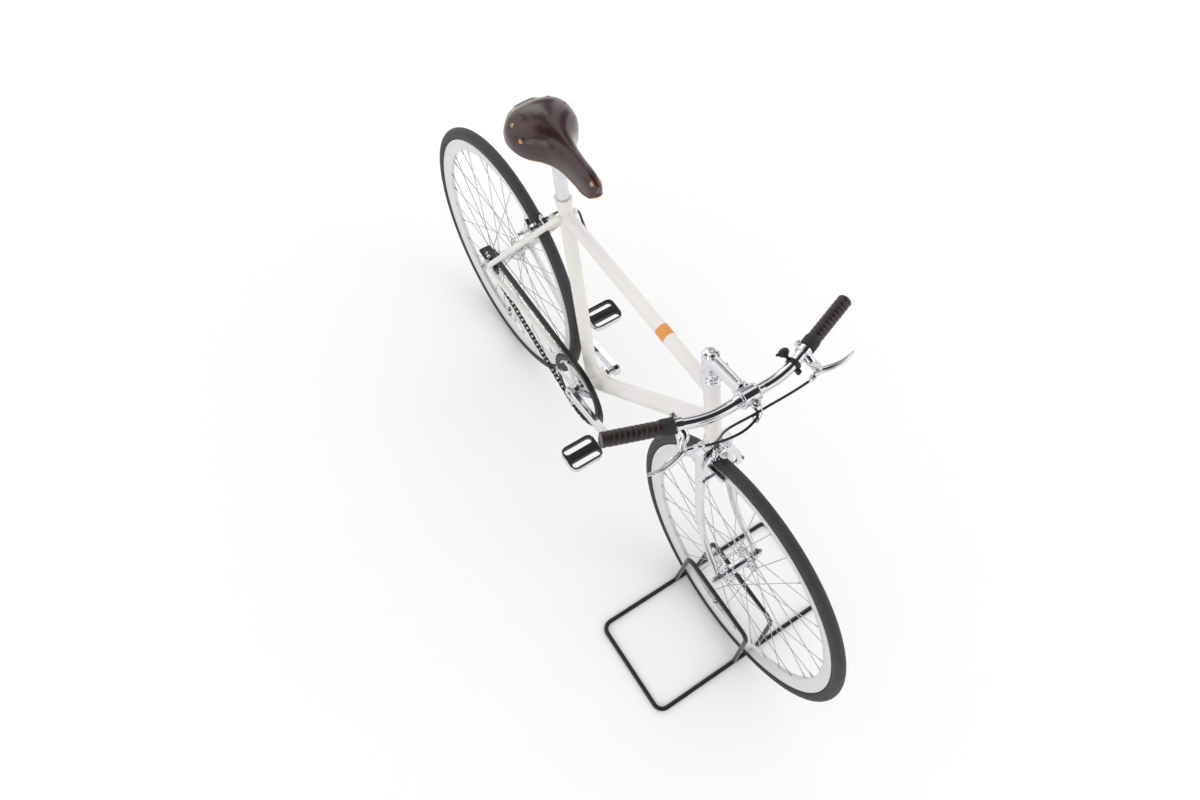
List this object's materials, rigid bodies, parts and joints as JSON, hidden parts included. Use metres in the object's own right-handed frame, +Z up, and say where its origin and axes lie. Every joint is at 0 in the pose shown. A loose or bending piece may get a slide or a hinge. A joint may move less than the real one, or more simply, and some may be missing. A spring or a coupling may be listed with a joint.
{
  "type": "city bicycle in a wire floor stand",
  "caption": "Diamond-frame city bicycle with swept bar, leather saddle, chain guard and spoked wheels, its front wheel held in a wire floor stand.",
  "frame": {"origin": "on the floor, midway between the two axles, in the plane of the wheels", "axes": "+X forwards, +Y to the rider's left, +Z up"},
  "size_m": [1.6599, 0.5384, 0.9862],
  "materials": {
    "cream_paint": "gloss",
    "orange_band": "gloss",
    "chrome": "mirror",
    "polished_alloy": "polished",
    "rim_alloy": "satin",
    "steel": "plain",
    "spoke_steel": "bright",
    "tyre_rubber": "slick",
    "brake_rubber": "matte",
    "saddle_leather": "gloss",
    "grip_leather": "satin",
    "black_rod": "gloss",
    "black_metal": "satin",
    "pedal_black": "satin",
    "cable_black": "satin"
  },
  "bodies": {
    "front_end": {"stand_floor_loop": "black_rod", "stand_hoops": "black_rod", "fork": "chrome", "headset_lock": "chrome", "stem": "polished_alloy", "handlebar": "polished_alloy", "grips": "grip_leather", "brake_levers": "polished_alloy", "bell": "polished_alloy", "front_caliper": "polished_alloy", "front_brake_pads": "brake_rubber", "front_axle": "steel", "front_brake_cable": "cable_black", "rear_brake_cable_loop": "cable_black"},
    "front_wheel": {"front_tyre": "tyre_rubber", "front_rim": "rim_alloy", "front_spokes": "spoke_steel", "front_hub": "polished_alloy"},
    "frame": {"head_tube": "cream_paint", "headset_cups": "chrome", "top_tube": "cream_paint", "orange_band": "orange_band", "down_tube": "cream_paint", "seat_tube": "cream_paint", "seat_stays": "cream_paint", "chain_stays": "cream_paint", "dropouts": "cream_paint", "brake_bridge": "cream_paint", "bracket_cups": "steel", "seat_collar": "cream_paint", "seatpost": "polished_alloy", "saddle": "saddle_leather", "saddle_rails": "steel", "rear_caliper": "polished_alloy", "rear_brake_pads": "brake_rubber", "rear_axle": "steel", "rear_cog": "steel", "chain": "black_metal", "chain_guard": "black_metal", "rear_brake_cable": "cable_black"},
    "rear_wheel": {"rear_tyre": "tyre_rubber", "rear_rim": "rim_alloy", "rear_spokes": "spoke_steel", "rear_hub": "polished_alloy"},
    "crank": {"spindle": "steel", "right_crank": "polished_alloy", "chainring": "polished_alloy", "left_crank": "polished_alloy", "right_pedal_axle": "steel", "left_pedal_axle": "steel"},
    "right_pedal_platform": {"right_pedal": "pedal_black"},
    "left_pedal_platform": {"left_pedal": "pedal_black"}
  },
  "joints": [
    {"name": "steering", "type": "hinge", "parent": "front_end", "child": "frame", "pos_m": [0.2821, 0, 0.7536], "axis": [-0.3074, 0, 0.9516], "range_deg": [-60, 60]},
    {"name": "front_wheel_spin", "type": "hinge", "parent": "front_end", "child": "front_wheel", "pos_m": [0.492, 0, 0.338], "axis": [0, 1, 0], "continuous": true},
    {"name": "rear_wheel_spin", "type": "hinge", "parent": "frame", "child": "rear_wheel", "pos_m": [-0.492, 0, 0.338], "axis": [0, 1, 0], "continuous": true},
    {"name": "crank_spin", "type": "hinge", "parent": "frame", "child": "crank", "pos_m": [-0.08537, 0, 0.294], "axis": [0, 1, 0], "continuous": true},
    {"name": "right_pedal_spin", "type": "hinge", "parent": "crank", "child": "right_pedal_platform", "pos_m": [0.07659, -0.14, 0.32548], "axis": [0, 1, 0], "continuous": true},
    {"name": "left_pedal_spin", "type": "hinge", "parent": "crank", "child": "left_pedal_platform", "pos_m": [-0.24734, 0.14, 0.26252], "axis": [0, 1, 0], "continuous": true}
  ]
}
